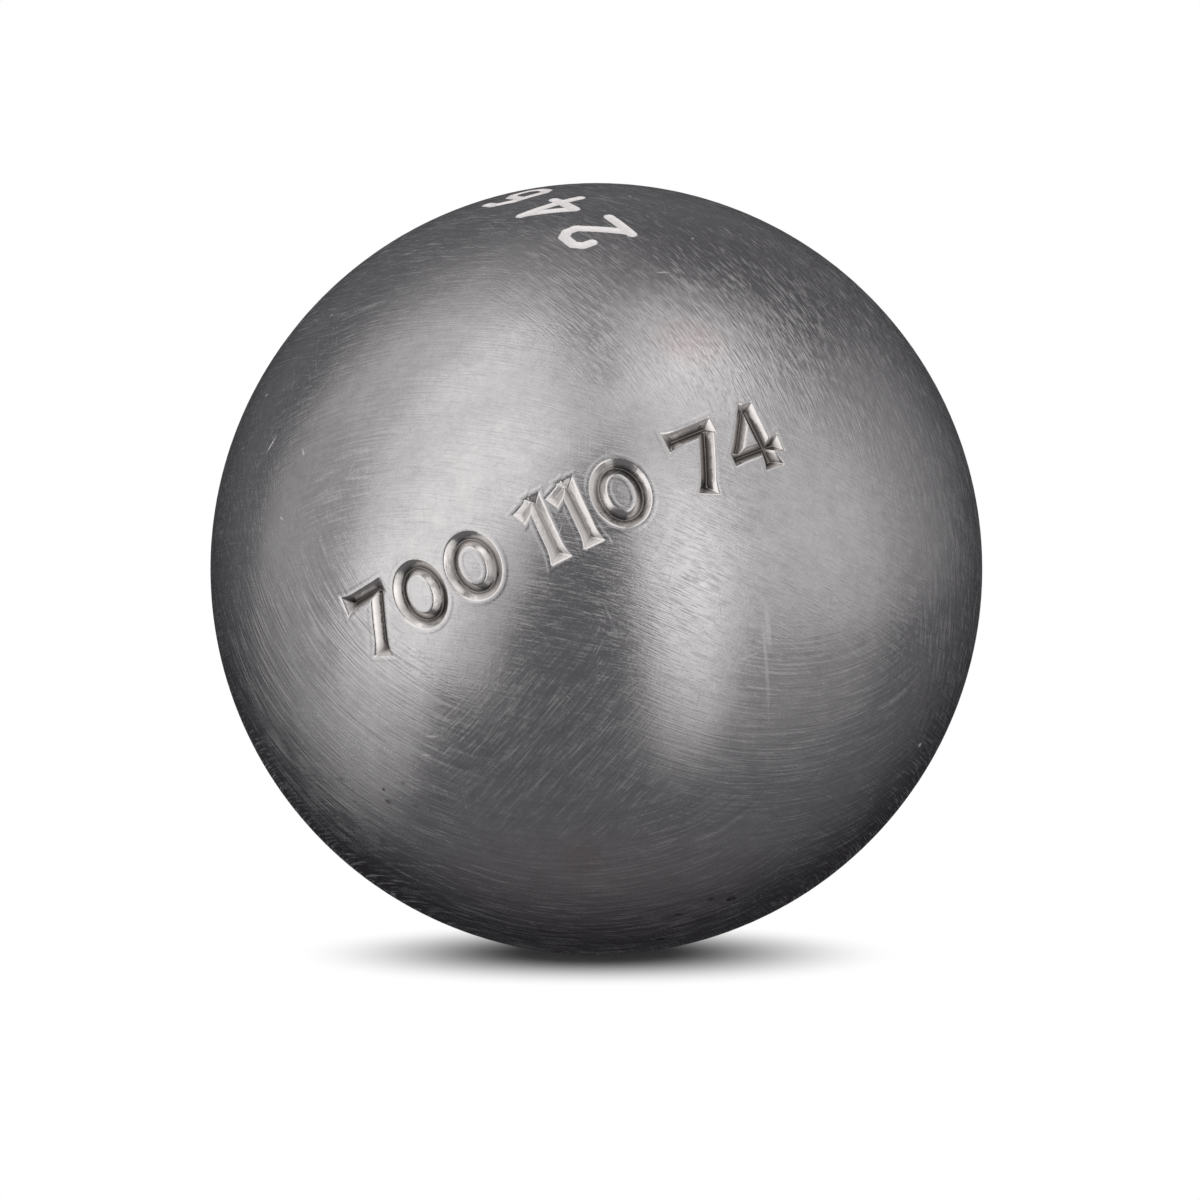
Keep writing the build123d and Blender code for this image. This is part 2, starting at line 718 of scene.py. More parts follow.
# Azimuth, elevation, length and width of each pit
PITS = (
    Blemish(34.8, -54.3, 1.7, 1.3),
    Blemish(28.6, -54.1, 1.2, 1.0, strength=0.7),
    Blemish(22.7, -58.3, 1.3, 0.9, strength=0.8),
    Blemish(25.8, -68.1, 1.8, 1.6),
    Blemish(-57.9, -26.3, 1.1, 0.9, strength=0.5),
    Blemish(-37.1, -32.0, 0.5, 0.5),
    Blemish(-37.3, -34.1, 1.0, 0.8, strength=0.5),
    Blemish(-46.2, -30.7, 1.1, 0.8, strength=0.45),
    Blemish(-44.6, -41.8, 1.6, 1.1, strength=0.45),
    Blemish(-51.2, -37.2, 1.3, 1.0, strength=0.4),
    Blemish(-32.5, -30.7, 0.8, 0.6, strength=0.4),
    Blemish(-31.7, -34.6, 0.8, 0.6, strength=0.4),
)

# Azimuth, elevation, length, width and turn of each scratch or nick. Their pale colour is partly painted
# glint, the light that they catch
SCRATCHES_AND_GLINTS = (
    Blemish(-25.0, -23.2, 1.7, 0.24, 1.0),
    Blemish(-26.8, -26.1, 1.2, 0.22, 2.0),
    Blemish(-56.8, 17.8, 2.8, 0.34, 60.0),
    Blemish(-47.5, 16.4, 1.2, 0.28, -56.0),
    Blemish(-66.3, 25.8, 0.5, 0.4),
    Blemish(-50.1, 7.1, 0.8, 0.26, -31.0),
    Blemish(13.5, 68.9, 0.4, 0.6),
    Blemish(13.1, 45.5, 1.5, 0.24, 2.0),
    Blemish(23.6, 54.0, 0.36, 0.4),
    Blemish(63.5, -25.9, 1.1, 0.6),
    Blemish(-58.0, 39.2, 0.5, 0.4),
    Blemish(23.9, -8.0, 5.0, 0.8, -80.0, strength=0.3),
    Blemish(24.3, -13.9, 13.0, 0.5, -79.0, strength=0.25),
)

# Azimuth, elevation, length and width of each warm tint. The one up right is a painted warm reflection on
# the highlight there; the two low ones warm the steel below the numbers
WARM_TINTS = (
    Blemish(-2.7, -44.3, 6.0, 8.0, strength=0.5),
    Blemish(3.0, -54.0, 40.0, 26.0, strength=0.25),
    Blemish(15.3, 32.9, 9.0, 7.0, strength=0.4),
)


@dataclass(frozen=True)
class BlemishKind:
    """Blemishes of one kind: their colour, how far they cover the steel and how rough they are."""

    blemishes: tuple[Blemish, ...]
    colour: str
    cover: float
    roughness: float


# Pits go through stray scratches, and those through the warm tints
BLEMISH_KINDS = (
    # Warm tints, partly a painted warm reflection on the highlight up right
    BlemishKind(WARM_TINTS, colour="#A78D8A", cover=0.5, roughness=0.3),
    # Scratches and nicks: fresh metal, paler in part as a painted glint
    BlemishKind(SCRATCHES_AND_GLINTS, colour="#DAD7D5", cover=0.8, roughness=0.8),
    BlemishKind(PITS, colour="#353130", cover=1.0, roughness=0.5),
)


@dataclass(frozen=True)
class SatinSteel:
    """Carbon steel, ground round and brushed by hand in overlapping patches."""

    name: str = "carbon_steel_brushed_satin"
    colour: str = "#999899"
    worn_colour: str = "#BEBDBD"
    roughness: float = 0.21
    scratch_roughness: float = 0.56
    # Heights of the strokes between which the steel goes from smooth to scratched
    scratch_heights: tuple[float, float] = (0.5, 0.74)
    # Strokes are drawn about four times as wide as they are, and so as much deeper
    stroke_depth: float = 0.023 * MM
    grain: float = 0.25 * MM
    grain_share: float = 0.2
    # A thin tarnish clouds the steel. Its largest clouds are about this wide
    tarnish: float = 2.5 * MM
    tarnish_weight: float = 1.0
    # A patch's edge is soft over so many degrees each way, and wanders by a share of its spread
    patch_edge: float = 10.0
    patch_cover: float = 0.72
    edge_wander: float = 7.0 * MM
    edge_sway: float = 0.34
    # Stray scratches lie one way in each small patch, and are drawn as coarse as the strokes
    hatch_patch: float = 5.0 * MM
    hatch_length: float = 4.0 * MM
    hatch_width: float = 0.11 * MM
    hatch_levels: tuple[float, float] = (0.64, 0.76)
    hatch_share: float = 0.12

    def material(self) -> bpy.types.Material:
        """Build the finish: soft wide highlights, broken up by short bright and dark strokes.

        Returns:
            The material.
        """
        material, tree = new_material(self.name)
        place = add_node(tree, "ShaderNodeTexCoord").outputs["Object"]
        height = self._height(tree, place)
        bump = add_node(tree, "ShaderNodeBump", Strength=1.0, Distance=self.stroke_depth, Height=height)
        rough = add_node(
            tree,
            "ShaderNodeMapRange",
            Value=height,
            From_Min=self.scratch_heights[0],
            From_Max=self.scratch_heights[1],
            To_Min=self.roughness,
            To_Max=self.scratch_roughness,
        ).outputs[0]
        tone = self._tarnished(tree, place, height)
        for kind in BLEMISH_KINDS:
            mask = self._marked(tree, place, kind)
            tone = add_node(
                tree, "ShaderNodeMix", {"data_type": "RGBA"}, in_0=mask, in_6=tone, in_7=linear(kind.colour)
            ).outputs[2]
            rough = add_node(
                tree, "ShaderNodeMix", {"data_type": "FLOAT"}, in_0=mask, in_2=rough, in_3=kind.roughness
            ).outputs[0]
        steel = add_node(
            tree,
            "ShaderNodeBsdfPrincipled",
            Base_Color=tone,
            Metallic=1.0,
            Roughness=rough,
            Normal=bump.outputs[0],
        )
        add_node(tree, "ShaderNodeOutputMaterial", Surface=steel.outputs[0])
        return material

    def _height(self, tree: bpy.types.NodeTree, place: bpy.types.NodeSocket) -> bpy.types.NodeSocket:
        """Lay the patches of strokes over each other, with a fine grain and stray scratches.

        Args:
            tree: the finish's node tree.
            place: the place on the ball, in metres.

        Returns:
            The height of the strokes, about 0.5 on plain metal.
        """
        wander = add_node(tree, "ShaderNodeTexNoise", Vector=place, Scale=1 / self.edge_wander, Detail=2.0)
        sway = add_node(
            tree,
            "ShaderNodeMath",
            {"operation": "MULTIPLY_ADD"},
            in_0=wander.outputs["Fac"],
            in_1=self.edge_sway,
            in_2=-self.edge_sway / 2,
        )
        strokes = None
        for brush in BRUSH_PASSES:
            strokes = self._brush(tree, place, sway.outputs[0], brush, strokes)
        grain = add_node(tree, "ShaderNodeTexNoise", Vector=place, Scale=1 / self.grain, Detail=1.0)
        grained = add_node(
            tree,
            "ShaderNodeMix",
            {"data_type": "FLOAT"},
            in_0=self.grain_share,
            in_2=strokes,
            in_3=grain.outputs["Fac"],
        )
        return add_node(
            tree,
            "ShaderNodeMath",
            {"operation": "MULTIPLY_ADD"},
            in_0=self._hatch(tree, place),
            in_1=self.hatch_share,
            in_2=grained.outputs[0],
        ).outputs[0]

    def _tarnished(
        self, tree: bpy.types.NodeTree, place: bpy.types.NodeSocket, height: bpy.types.NodeSocket
    ) -> bpy.types.NodeSocket:
        """Colour the steel: paler on strokes that stand out, and clouded by the tarnish.

        Args:
            tree: the finish's node tree.
            place: the place on the ball, in metres.
            height: the height of the strokes.

        Returns:
            The colour.
        """
        tarnish = add_node(
            tree, "ShaderNodeTexNoise", Vector=place, Scale=1 / self.tarnish, Detail=3.0, Roughness=1.0
        )
        clouds = add_node(
            tree,
            "ShaderNodeMath",
            {"operation": "MULTIPLY_ADD"},
            in_0=tarnish.outputs["Fac"],
            in_1=self.tarnish_weight,
            in_2=-self.tarnish_weight / 2,
        )
        shade = add_node(tree, "ShaderNodeMath", {"operation": "ADD"}, in_0=height, in_1=clouds.outputs[0])
        return add_node(
            tree,
            "ShaderNodeMix",
            {"data_type": "RGBA"},
            in_0=shade.outputs[0],
            in_6=linear(self.colour),
            in_7=linear(self.worn_colour),
        ).outputs[2]

    def _marked(
        self, tree: bpy.types.NodeTree, place: bpy.types.NodeSocket, kind: BlemishKind
    ) -> bpy.types.NodeSocket:
        """Draw blemishes of one kind together, broken up by a fine mottle.

        Args:
            tree: the finish's node tree.
            place: the place on the ball, in metres.
            kind: the blemishes.

        Returns:
            How far the blemishes cover the steel, 0 to 1.
        """
        covered = 0.0
        for blemish in kind.blemishes:
            mask = blemish.mask(tree, place)
            covered = add_node(
                tree, "ShaderNodeMath", {"operation": "MAXIMUM"}, in_0=mask, in_1=covered
            ).outputs[0]
        mottle = add_node(tree, "ShaderNodeTexNoise", Vector=place, Scale=1 / (2 * self.grain), Detail=2.0)
        broken = add_node(
            tree,
            "ShaderNodeMath",
            {"operation": "MULTIPLY"},
            in_0=mottle.outputs["Fac"],
            in_1=2 * kind.cover,
        )
        return add_node(
            tree,
            "ShaderNodeMath",
            {"operation": "MULTIPLY", "use_clamp": True},
            in_0=covered,
            in_1=broken.outputs[0],
        ).outputs[0]

    def _hatch(self, tree: bpy.types.NodeTree, place: bpy.types.NodeSocket) -> bpy.types.NodeSocket:
        """Scatter stray scratches, with an angle of their own in each small patch.

        Args:
            tree: the finish's node tree.
            place: the place on the ball, in metres.

        Returns:
            1 on a scratch and 0 beside it.
        """
        patch = add_node(tree, "ShaderNodeTexVoronoi", Vector=place, Scale=1 / self.hatch_patch)
        angle = add_node(
            tree, "ShaderNodeMath", {"operation": "MULTIPLY"}, in_0=patch.outputs["Color"], in_1=2 * pi
        )
        turned = add_node(
            tree,
            "ShaderNodeVectorRotate",
            {"rotation_type": "AXIS_ANGLE"},
            Vector=place,
            Axis=patch.outputs["Position"],
            Angle=angle.outputs[0],
        )
        strokes = (self.hatch_length, self.hatch_length, self.hatch_width)
        stretched = add_node(
            tree, "ShaderNodeMapping", {"vector_type": "TEXTURE"}, Vector=turned.outputs[0], Scale=strokes
        )
        streak = add_node(tree, "ShaderNodeTexNoise", Vector=stretched.outputs[0], Scale=1.0, Detail=1.0)
        return add_node(
            tree,
            "ShaderNodeMapRange",
            {"interpolation_type": "SMOOTHSTEP"},
            Value=streak.outputs["Fac"],
            From_Min=self.hatch_levels[0],
            From_Max=self.hatch_levels[1],
        ).outputs[0]

    def _brush(
        self,
        tree: bpy.types.NodeTree,
        place: bpy.types.NodeSocket,
        sway: bpy.types.NodeSocket,
        brush: BrushPass,
        under: bpy.types.NodeSocket | None,
    ) -> bpy.types.NodeSocket:
        """Lay one patch of strokes over those before it.

        Args:
            tree: the finish's node tree.
            place: the place on the ball, in metres.
            sway: how far the patch's edge wanders, in radians.
            brush: the patch.
            under: the height of the strokes before it, or None for the first.

        Returns:
            The height of the strokes, about 0.5 on plain metal.
        """
        turned = add_node(
            tree,
            "ShaderNodeMapping",
            {"vector_type": "TEXTURE"},
            Vector=place,
            Rotation=brush.rotation(),
            Scale=Vector((brush.length, brush.length, brush.width)) * MM,
        )
        lines = add_node(
            tree, "ShaderNodeTexNoise", Vector=turned.outputs[0], Scale=1.0, Detail=1.0, Roughness=0.7
        )
        streak = add_node(
            tree,
            "ShaderNodeMath",
            {"operation": "MULTIPLY_ADD"},
            in_0=lines.outputs["Fac"],
            in_1=brush.weight,
            in_2=0.5 - (0.5 + brush.thinner) * brush.weight,
        ).outputs[0]
        if under is None:
            return streak
        facing = add_node(
            tree,
            "ShaderNodeVectorMath",
            {"operation": "DOT_PRODUCT"},
            in_0=place,
            in_1=brush.centre() / BALL_RADIUS,
        )
        edge = add_node(
            tree,
            "ShaderNodeMath",
            {"operation": "MULTIPLY_ADD"},
            in_0=sway,
            in_1=sin(radians(brush.spread)),
            in_2=facing.outputs["Value"],
        )
        cover = add_node(
            tree,
            "ShaderNodeMapRange",
            {"interpolation_type": "SMOOTHSTEP"},
            Value=edge.outputs[0],
            From_Min=cos(radians(brush.spread + self.patch_edge)),
            From_Max=cos(radians(max(brush.spread - self.patch_edge, 0.0))),
            To_Max=self.patch_cover,
        )
        return add_node(
            tree, "ShaderNodeMix", {"data_type": "FLOAT"}, in_0=cover.outputs[0], in_2=under, in_3=streak
        ).outputs[0]


@dataclass(frozen=True)
class PunchedSteel:
    """The same steel where the punch pressed it: burnished, with painted shade that darkens the deep cut.
    """

    name: str = "carbon_steel_punched"
    colour: str = "#C4C1BF"
    # Painted shade: between the two depths the cut turns to this darker colour, as shade deep in a groove
    groove_shade_colour: str = "#6A6664"
    groove_shade_depths: tuple[float, float] = (0.2 * MM, 0.65 * MM)
    # The ripple's hollows are smoother than its crests
    ripple: float = 0.8 * MM
    ripple_depth: float = 0.03 * MM
    ripple_levels: tuple[float, float] = (0.3, 0.7)
    roughnesses: tuple[float, float] = (0.11, 0.23)

    def material(self) -> bpy.types.Material:
        """Build the finish: bright and dark facets with a slight ripple, and painted shade that makes it
        darker towards the bottom.

        Returns:
            The material.
        """
        material, tree = new_material(self.name)
        place = add_node(tree, "ShaderNodeTexCoord").outputs["Object"]
        out = add_node(tree, "ShaderNodeVectorMath", {"operation": "LENGTH"}, in_0=place)
        # Painted shade, darker deeper in the cut
        groove_shade = add_node(
            tree,
            "ShaderNodeMapRange",
            Value=out.outputs["Value"],
            From_Min=BALL_RADIUS - self.groove_shade_depths[0],
            From_Max=BALL_RADIUS - self.groove_shade_depths[1],
        )
        tone = add_node(
            tree,
            "ShaderNodeMix",
            {"data_type": "RGBA"},
            in_0=groove_shade.outputs[0],
            in_6=linear(self.colour),
            in_7=linear(self.groove_shade_colour),
        )
        ripple = add_node(tree, "ShaderNodeTexNoise", Vector=place, Scale=1 / self.ripple, Detail=3.0)
        bump = add_node(
            tree, "ShaderNodeBump", Strength=1.0, Distance=self.ripple_depth, Height=ripple.outputs["Fac"]
        )
        rough = add_node(
            tree,
            "ShaderNodeMapRange",
            Value=ripple.outputs["Fac"],
            From_Min=self.ripple_levels[0],
            From_Max=self.ripple_levels[1],
            To_Min=self.roughnesses[0],
            To_Max=self.roughnesses[1],
        )
        steel = add_node(
            tree,
            "ShaderNodeBsdfPrincipled",
            Base_Color=tone.outputs[2],
            Metallic=1.0,
            Roughness=rough.outputs[0],
            Normal=bump.outputs[0],
        )
        add_node(tree, "ShaderNodeOutputMaterial", Surface=steel.outputs[0])
        return material


@dataclass(frozen=True)
class EngravedSteel:
    """Freshly cut steel, left frosted by the engraver's cutter."""

    name: str = "carbon_steel_engraved_frosted"
    colour: str = "#EDEAE9"
    dull_colour: str = "#D8D4D4"
    # Tool marks too fine to draw scatter most of the light, as a pale matt surface does
    metallic: float = 0.35
    roughness: float = 0.6
    grain: float = 0.25 * MM

    def material(self) -> bpy.types.Material:
        """Build the finish: pale and nearly matt, as fine tool marks scatter the light.

        Returns:
            The material.
        """
        material, tree = new_material(self.name)
        place = add_node(tree, "ShaderNodeTexCoord").outputs["Object"]
        grain = add_node(tree, "ShaderNodeTexNoise", Vector=place, Scale=1 / self.grain, Detail=2.0)
        tone = add_node(
            tree,
            "ShaderNodeMix",
            {"data_type": "RGBA"},
            in_0=grain.outputs["Fac"],
            in_6=linear(self.dull_colour),
            in_7=linear(self.colour),
        )
        steel = add_node(
            tree,
            "ShaderNodeBsdfPrincipled",
            Base_Color=tone.outputs[2],
            Metallic=self.metallic,
            Roughness=self.roughness,
        )
        add_node(tree, "ShaderNodeOutputMaterial", Surface=steel.outputs[0])
        return material


@dataclass
class TurnedPiece:
    """A closed solid of revolution: a zone of the ball's outside, closed by rings inside it."""

    name: str
    node: str
    slot: str
    zone: Zone
    bore_cell: float = 2.5 * MM
    land_width: float = 1.5 * MM

    def inner_profile(self) -> list[tuple[float, float]]:
        """Return the inside's corners, as radius and height, in the order that closes the solid."""
        raise NotImplementedError

    def land(self) -> tuple[float, float]:
        """Return the inner and outer radius of the square land at each rim's bore."""
        inner = sqrt(BORE_RADIUS**2 - ROOT_HALF_GAP**2)
        return inner, inner + self.land_width

    def build(self, skin: BallSkin) -> bpy.types.Object:
        """Make the piece's mesh and object.

        Args:
            skin: the ball's outside.

        Returns:
            The new object.
        """
        mine = skin.zones == self.zone
        used, outside = np.unique(skin.triangles[mine], return_inverse=True)
        outside = outside.reshape(-1, 3)
        inner_rings = [ring(radius, height, self.bore_cell) for radius, height in self.inner_profile()]
        points = np.concatenate([skin.shape[used], *inner_rings])
        plain = np.concatenate([skin.points[used], *inner_rings])
        azimuths = np.arctan2(plain[:, 1], plain[:, 0])
        inside = self._close(outside, skin.points[used], inner_rings, azimuths)
        mesh = bpy.data.meshes.new(self.name)
        mesh.from_pydata(points.tolist(), [], np.concatenate([outside, inside]).tolist())
        kinds = np.concatenate([skin.surfaces()[mine], np.full(len(inside), int(Surface.SATIN))])
        mesh.polygons.foreach_set("material_index", kinds.astype(np.int32))
        mesh.shade_smooth()
        mesh.update()
        made = bpy.data.objects.new(self.name, mesh)
        bpy.context.scene.collection.objects.link(made)
        normals = np.array([corner.vector for corner in mesh.vertex_normals])
        normals[: len(used)] = skin.normals[used]
        mesh.normals_split_custom_set_from_vertices(normals)
        return made

    def _close(
        self,
        outside: np.ndarray,
        directions: np.ndarray,
        inner_rings: list[np.ndarray],
        azimuths: np.ndarray,
    ) -> np.ndarray:
        """Join the outside's open edges through the rings inside.

        Args:
            outside: triangles of the outside.
            directions: the unit vector to each of the outside's points.
            inner_rings: the points of each ring inside, in order.
            azimuths: the azimuth of every point of the piece.

        Returns:
            The triangles that close the solid.
        """
        starts = len(directions) + np.cumsum([0] + [len(points) for points in inner_rings])
        rings = [np.arange(a, b) for a, b in zip(starts, starts[1:])]
        sides = np.stack([outside, np.roll(outside, -1, axis=1)], axis=2).reshape(-1, 2)
        keys, counts = np.unique(np.sort(sides, axis=1), axis=0, return_counts=True)
        open_points = np.unique(keys[counts == 1])
        high = directions[open_points, 2] > 0
        low_edge, high_edge = open_points[~high], open_points[high]
        chain = {
            Zone.LOWER: [low_edge, *rings],
            Zone.WELD: [high_edge, *rings, low_edge],
            Zone.UPPER: [*rings, high_edge],
        }[self.zone]
        made = [triangle for a, b in zip(chain, chain[1:]) for triangle in stitch(a, b, azimuths)]
        return np.array(made)

    def dress(self, made: bpy.types.Object, materials: list[bpy.types.Material]) -> None:
        """Give the piece its finishes and its place in the frame.

        Args:
            made: the piece's object.
            materials: the material of each Surface, in order.
        """
        for material in materials:
            made.data.materials.append(material)
        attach(made, BODY)
        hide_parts(self.node)
        LOG.info("%s: %d faces, replaces %s", made.name, len(made.data.polygons), self.node)


@dataclass
class HalfShell(TurnedPiece):
    """One pressed half shell: a hollow hemisphere with a land and a bevel at its rim."""

    def inner_profile(self) -> list[tuple[float, float]]:
        """Return the corners of the bore and the rim, from pole to bevel or the other way."""
        land_inner, land_outer = self.land()
        steps = int((pi / 2) * BORE_RADIUS / self.bore_cell)
        first = atan2(ROOT_HALF_GAP, land_inner)
        bore = [
            (BORE_RADIUS * cos(latitude), BORE_RADIUS * sin(latitude))
            for latitude in np.linspace(pi / 2, first, steps)
        ]
        upper = [*bore, (land_outer, ROOT_HALF_GAP)]
        if self.zone is Zone.UPPER:
            return upper
        return [(radius, -height) for radius, height in reversed(upper)]


@dataclass
class WeldBead(TurnedPiece):
    """The ring of weld metal between the half shells, with a rounded root inside."""

    root_half_width: float = 2.5 * MM
    root_steps: int = 8

    def inner_profile(self) -> list[tuple[float, float]]:
        """Return the corners of the weld's sides and root, from the upper bevel to the lower."""
        land_inner, land_outer = self.land()
        toe = sqrt(BORE_RADIUS**2 - self.root_half_width**2)
        upper = [(land_outer, ROOT_HALF_GAP), (land_inner, ROOT_HALF_GAP)]
        lower = [(radius, -height) for radius, height in reversed(upper)]
        turns = np.linspace(1.0, -1.0, self.root_steps + 1)
        root = [
            (ROOT_CROWN_RADIUS + (toe - ROOT_CROWN_RADIUS) * turn**2, self.root_half_width * turn)
            for turn in turns
        ]
        return [*upper, *root, *lower]


@dataclass(frozen=True)
class Softbox:
    """A soft rectangular lamp that faces the ball, behind a grid. Degrees, and sizes at one metre.

    The glow is that of its middle. The grid lets it fade outwards, to nothing at the fade's distance.
    """

    name: str
    azimuth: float
    elevation: float
    roll: float
    width: float
    height: float
    fade: float
    glow: float
    distance: float = 0.9
    colour: str = "#FEFCFB"

    def build(self) -> bpy.types.Object:
        """Hang the lamp, seen only in the metal's shine.

        Returns:
            The lamp's object.
        """
        lamp = bpy.data.lights.new(self.name, "AREA")
        lamp.shape = "RECTANGLE"
        lamp.size = self.width * self.distance
        lamp.size_y = self.height * self.distance
        half_spread = atan(self.fade)
        lamp.spread = 2 * half_spread
        lamp.energy = self.glow * pi * lamp.size * lamp.size_y * (1 - half_spread / self.fade)
        lamp.color = linear(self.colour)[:3]
        made = bpy.data.objects.new(self.name, lamp)
        bpy.context.scene.collection.objects.link(made)
        out, along, up = bearings(self.azimuth, self.elevation, self.roll)
        turned = Matrix((along, up, out)).transposed().to_4x4()
        made.matrix_world = Matrix.Translation(out * self.distance) @ turned
        made.visible_camera = False
        made.visible_diffuse = False
        return made


# Each lamp makes one of the soft bright bands on the ball. Azimuth, elevation and roll come first
SOFTBOXES = (
    Softbox("left_key", -41.0, 18.0, -20.0, width=1.05, height=2.4, fade=8.0, glow=0.8),
    Softbox("left_main", -52.0, -1.0, -33.0, width=0.55, height=2.7, fade=5.5, glow=0.72),
    Softbox("left_wing", -89.0, 16.0, -14.0, width=0.8, height=4.4, fade=8.0, glow=0.4),
    Softbox("right_strip", 25.0, -3.5, 8.0, width=0.43, height=3.5, fade=1.6, glow=1.26),
    Softbox("right_top", 49.0, 58.0, -38.0, width=0.65, height=0.9, fade=0.6, glow=1.6),
    Softbox("right_wing", 74.0, 16.0, 11.0, width=3.0, height=1.1, fade=1.6, glow=0.5),
    Softbox("front_top", -71.0, 64.0, 32.0, width=2.1, height=3.6, fade=1.0, glow=0.52),
    Softbox("right_low", 50.0, 6.0, 21.0, width=1.7, height=3.9, fade=2.0, glow=0.43),
)


@dataclass
class Studio:
    """The white floor, the glowing grey tent that the metal mirrors, the lamps and the camera."""

    # The camera: its lens in millimetres, and where the ball lies in its picture
    frame_pixels: float = 1200.0
    ball_centre_pixel: tuple[float, float] = (596.4, 569.4)
    ball_radius_pixels: float = 386.0
    elevation: float = 0.0
    lens: float = 100.0
    sensor: float = 36.0
    clip_start: float = 0.01
    # The floor: grey paper takes the ball's real shadow, and a painted white glow takes over between two
    # shares of the ball's radius, less far front to back, so that the shadow fades there
    floor_size: float = 6.0
    shadow_colour: str = "#888888"
    shadow_inner: float = 0.18
    shadow_outer: float = 0.8
    shadow_squeeze: float = 1.08
    # The tent glows, as light for the metal to mirror: darkest behind and below the ball, lighter from the
    # second angle out to the first
    tent_radius: float = 2.5
    tent_rings: int = 25
    tent_cell: float = 0.3
    tent_glow_colour: str = "#79787B"
    tent_dark_glow_colour: str = "#28262A"
    tent_dark_elevation: float = -21.0
    tent_dark_angles: tuple[float, float] = (63.0, 15.0)

    def build(self) -> None:
        """Set up everything round the ball."""
        bpy.context.scene.view_settings.view_transform = "Standard"
        self._light_world()
        self._lay_floor()
        self._hang_tent()
        for softbox in SOFTBOXES:
            LOG.info("lamp %s", softbox.build().name)
        self._set_camera()

    def _light_world(self) -> None:
        """Make the world an even white."""
        world = bpy.data.worlds.new("white_room")
        world.use_nodes = True
        world.node_tree.nodes.clear()
        world.cycles.sampling_method = "NONE"
        white = add_node(world.node_tree, "ShaderNodeBackground", Color=linear("#FFFFFF"), Strength=1.0)
        add_node(world.node_tree, "ShaderNodeOutputWorld", Surface=white.outputs[0])
        bpy.context.scene.world = world

    def _lay_floor(self) -> None:
        """Lay a white floor that keeps only the soft shadow close to the ball: grey paper there takes the
        real shadow, and a painted white glow further out sets how far it reaches.
        """
        material, tree = new_material("paper_grey_under_white_glow")
        place = add_node(tree, "ShaderNodeTexCoord").outputs["Object"]
        oval = add_node(
            tree,
            "ShaderNodeVectorMath",
            {"operation": "MULTIPLY"},
            in_0=place,
            in_1=(1.0, self.shadow_squeeze, 1.0),
        )
        far = add_node(tree, "ShaderNodeVectorMath", {"operation": "LENGTH"}, in_0=oval.outputs[0])
        # Painted white glow, which takes over from the grey paper and its real shadow away from the ball
        clear = add_node(
            tree,
            "ShaderNodeMapRange",
            {"interpolation_type": "SMOOTHSTEP"},
            Value=far.outputs["Value"],
            From_Min=self.shadow_inner * BALL_RADIUS,
            From_Max=self.shadow_outer * BALL_RADIUS,
        )
        paper = add_node(tree, "ShaderNodeBsdfDiffuse", Color=linear(self.shadow_colour))
        white = add_node(tree, "ShaderNodeEmission", Color=linear("#FFFFFF"), Strength=1.0)
        both = add_node(
            tree, "ShaderNodeMixShader", in_0=clear.outputs[0], in_1=paper.outputs[0], in_2=white.outputs[0]
        )
        add_node(tree, "ShaderNodeOutputMaterial", Surface=both.outputs[0])
        half = self.floor_size / 2
        corners = [(-half, -half, 0), (half, -half, 0), (half, half, 0), (-half, half, 0)]
        mesh = bpy.data.meshes.new("floor")
        mesh.from_pydata(corners, [], [(0, 1, 2, 3)])
        mesh.materials.append(material)
        floor = bpy.data.objects.new("floor", mesh)
        floor.location.z = -BALL_RADIUS
        floor.visible_glossy = False
        floor.visible_shadow = False
        bpy.context.scene.collection.objects.link(floor)

    def _hang_tent(self) -> None:
        """Hang a glowing grey tent round the ball, seen only in the metal's shine."""
        material, tree = new_material("tent_glow")
        place = add_node(tree, "ShaderNodeTexCoord").outputs["Object"]
        way = add_node(tree, "ShaderNodeVectorMath", {"operation": "NORMALIZE"}, in_0=place)
        behind = add_node(
            tree,
            "ShaderNodeVectorMath",
            {"operation": "DOT_PRODUCT"},
            in_0=way.outputs[0],
            in_1=direction(180.0, self.tent_dark_elevation),
        )
        dark = add_node(
            tree,
            "ShaderNodeMapRange",
            {"interpolation_type": "SMOOTHSTEP"},
            Value=behind.outputs["Value"],
            From_Min=cos(radians(self.tent_dark_angles[0])),
            From_Max=cos(radians(self.tent_dark_angles[1])),
        )
        glow_tone = add_node(
            tree,
            "ShaderNodeMix",
            {"data_type": "RGBA"},
            in_0=dark.outputs[0],
            in_6=linear(self.tent_glow_colour),
            in_7=linear(self.tent_dark_glow_colour),
        )
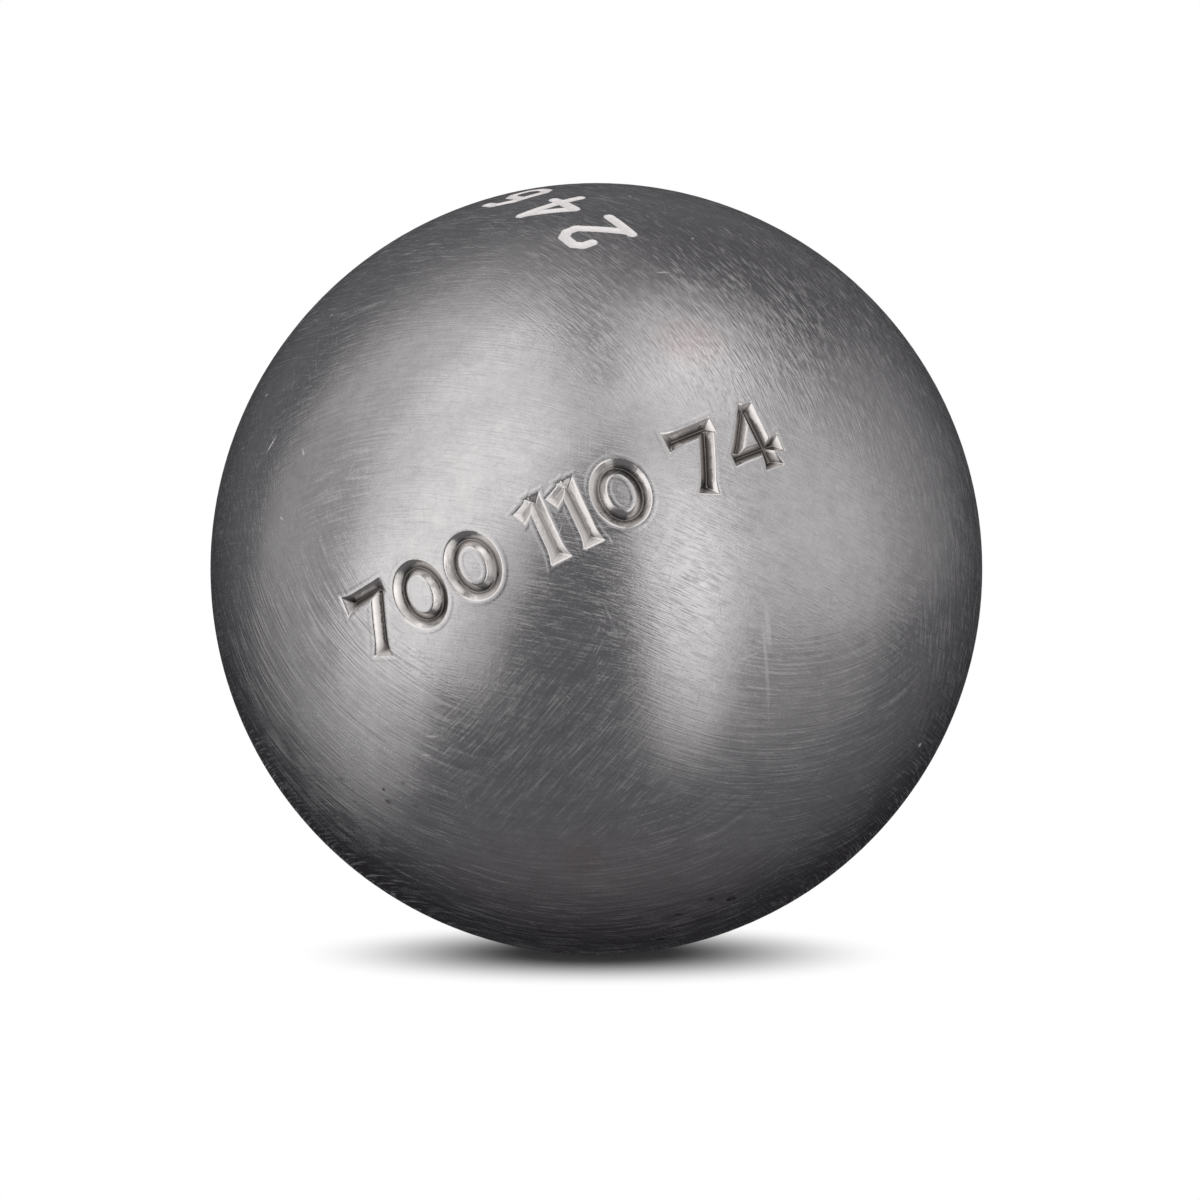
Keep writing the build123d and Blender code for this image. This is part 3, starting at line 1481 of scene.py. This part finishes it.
        # The tent's glow: the light that the metal mirrors
        glow = add_node(tree, "ShaderNodeEmission", Color=glow_tone.outputs[2], Strength=1.0)
        add_node(tree, "ShaderNodeOutputMaterial", Surface=glow.outputs[0])
        heights = np.linspace(-self.tent_radius, self.tent_radius, self.tent_rings)
        radii = np.sqrt(np.maximum(self.tent_radius**2 - heights**2, 0.0))
        rings = [ring(radius, height, self.tent_cell) for radius, height in zip(radii, heights)]
        points = np.concatenate(rings)
        azimuths = np.arctan2(points[:, 1], points[:, 0])
        starts = np.cumsum([0] + [len(made) for made in rings])
        numbers = [np.arange(a, b) for a, b in zip(starts, starts[1:])]
        faces = [face for a, b in zip(numbers, numbers[1:]) for face in stitch(a, b, azimuths)]
        mesh = bpy.data.meshes.new("tent")
        mesh.from_pydata(points.tolist(), [], np.array(faces).tolist())
        mesh.materials.append(material)
        tent = bpy.data.objects.new("tent", mesh)
        bpy.context.scene.collection.objects.link(tent)
        tent.visible_camera = False
        tent.visible_diffuse = False
        tent.visible_shadow = False
        tent.visible_transmission = False

    def _set_camera(self) -> None:
        """Place the camera so that the ball fills the frame as it does in the photograph."""
        focal_pixels = self.lens / self.sensor * self.frame_pixels
        distance = BALL_RADIUS / sin(atan(self.ball_radius_pixels / focal_pixels))
        away = direction(0.0, self.elevation)
        right = Vector((1.0, 0.0, 0.0))
        up = away.cross(right)
        half = self.frame_pixels / 2
        across = (half - self.ball_centre_pixel[0]) / focal_pixels * distance
        down = (half - self.ball_centre_pixel[1]) / focal_pixels * distance
        target = right * across - up * down
        camera = bpy.data.cameras.new("camera")
        camera.lens = self.lens
        camera.sensor_width = self.sensor
        camera.clip_start = self.clip_start
        made = bpy.data.objects.new("camera", camera)
        bpy.context.scene.collection.objects.link(made)
        made.location = away * distance
        made.rotation_euler = (target - made.location).to_track_quat("-Z", "Y").to_euler()
        bpy.context.scene.camera = made


def main() -> None:
    """Build the ball's pieces in order, dress them and set up the studio."""
    logging.basicConfig(level=logging.INFO, format="%(message)s")
    skin = BallSkin((PUNCHED_NUMBER, ENGRAVED_NUMBER))
    skin.build()
    finishes = (SatinSteel(), PunchedSteel(), EngravedSteel())
    materials = [finish.material() for finish in finishes]
    pieces = (
        HalfShell("lower_shell_brushed", "lower_half_shell", "satin_steel", Zone.LOWER),
        WeldBead("weld_band_brushed", "weld_bead", "weld_steel", Zone.WELD),
        HalfShell("upper_shell_brushed", "upper_half_shell", "satin_steel", Zone.UPPER),
    )
    for piece in pieces:
        piece.dress(piece.build(skin), materials)
    Studio().build()


if __name__ == "__main__":
    main()
